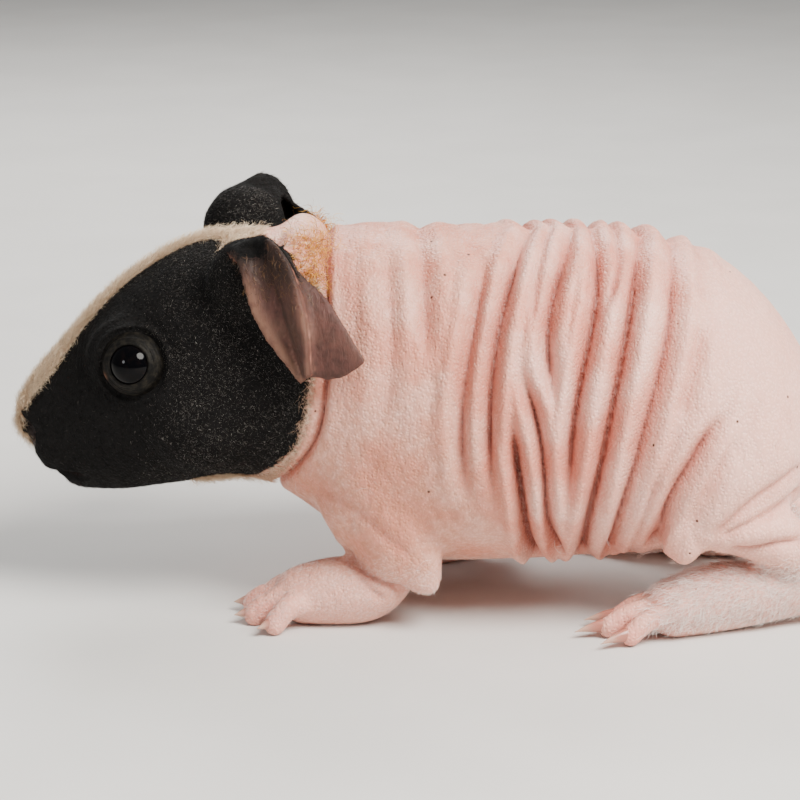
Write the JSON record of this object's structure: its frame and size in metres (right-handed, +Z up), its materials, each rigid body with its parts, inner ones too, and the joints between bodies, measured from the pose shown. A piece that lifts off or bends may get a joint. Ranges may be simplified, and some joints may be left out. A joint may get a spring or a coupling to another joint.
{
  "type": "skinny pig",
  "caption": "Life-size skinny pig pup standing with its head reached forward, as a still model with folded bare skin.",
  "frame": {"origin": "middle of the bounding box at floor level, under the belly", "axes": "+Z up; the nose points to -X and the rump to +X; the animal's left side faces -Y"},
  "size_m": [0.1298, 0.0576, 0.0654],
  "materials": {
    "skin": "bare pink skin, matte with a faint grease sheen, redder in the folds",
    "fur": "short black velvet fur with a cream blaze",
    "ear": "thin grey brown bare skin",
    "eye": "wet glossy black",
    "claw": "pale translucent horn"
  },
  "bodies": {
    "root": {"head": "fur", "neck": "skin", "torso": "skin", "fore_leg_left": "skin", "fore_leg_right": "skin", "hind_leg_left": "skin", "hind_leg_right": "skin", "fore_paw_left": "skin", "fore_paw_right": "skin", "hind_foot_left": "skin", "hind_foot_right": "skin", "ear_left": "ear", "ear_right": "ear", "eye_left": "eye", "eye_right": "eye", "claw_fore_left_1": "claw", "claw_fore_left_2": "claw", "claw_fore_left_3": "claw", "claw_fore_left_4": "claw", "claw_fore_right_1": "claw", "claw_fore_right_2": "claw", "claw_fore_right_3": "claw", "claw_fore_right_4": "claw", "claw_hind_left_1": "claw", "claw_hind_left_2": "claw", "claw_hind_left_3": "claw", "claw_hind_right_1": "claw", "claw_hind_right_2": "claw", "claw_hind_right_3": "claw"}
  },
  "joints": []
}
